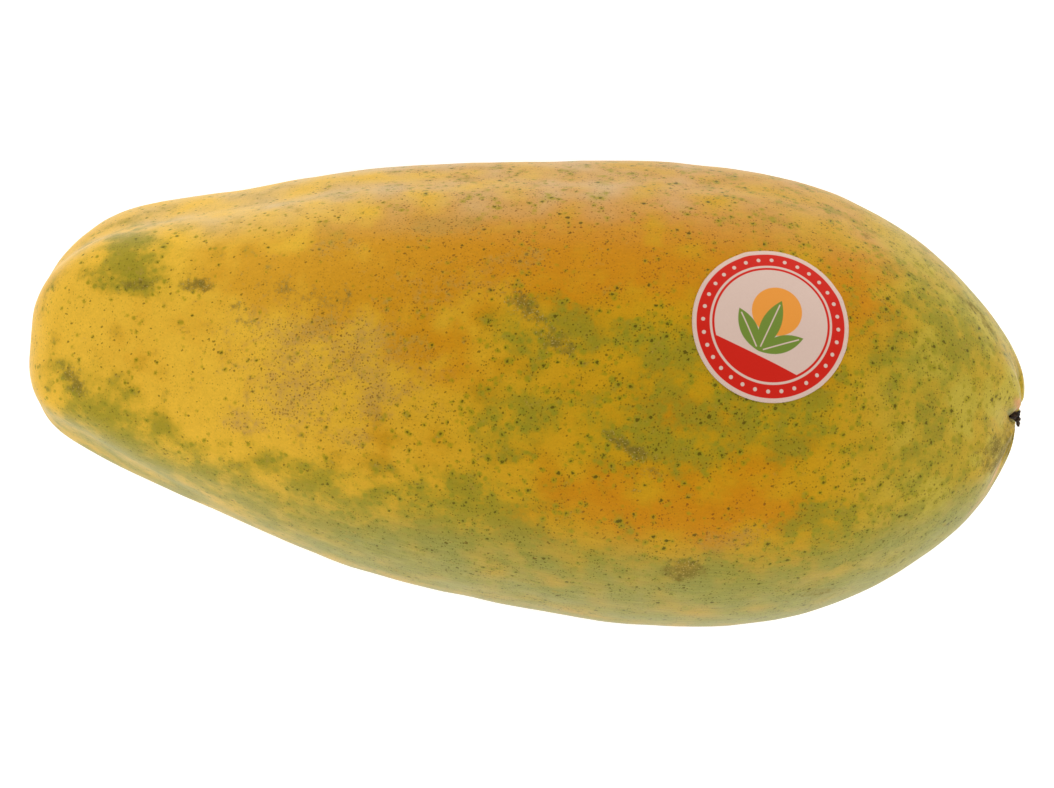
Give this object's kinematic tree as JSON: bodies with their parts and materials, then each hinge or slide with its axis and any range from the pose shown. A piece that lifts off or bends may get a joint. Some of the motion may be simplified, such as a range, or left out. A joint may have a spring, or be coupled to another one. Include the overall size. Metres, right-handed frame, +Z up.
{
  "type": "papaya",
  "caption": "Large long papaya lying on its side: a smooth, softly lobed fruit with a blunt scarred stem end, a puckered blossom end and a round label near its wide end.",
  "frame": {"origin": "middle of the bounding box, at the level of the surface that the fruit rests on", "axes": "+X along the fruit from its stem end to its blossom end, +Z up, +Y towards the side that the label leans to"},
  "size_m": [0.2602, 0.1218, 0.1205],
  "materials": {
    "papaya_skin": "thin waxy fruit skin with a soft sheen, golden yellow mottled with olive green and orange, with fine green dots",
    "dried_remnant": "dry, dark brown and rough",
    "label_paper": "smooth coated paper, printed red and cream"
  },
  "bodies": {
    "root": {"papaya": "papaya_skin", "blossom_remnant": "dried_remnant", "label": "label_paper"}
  },
  "joints": []
}
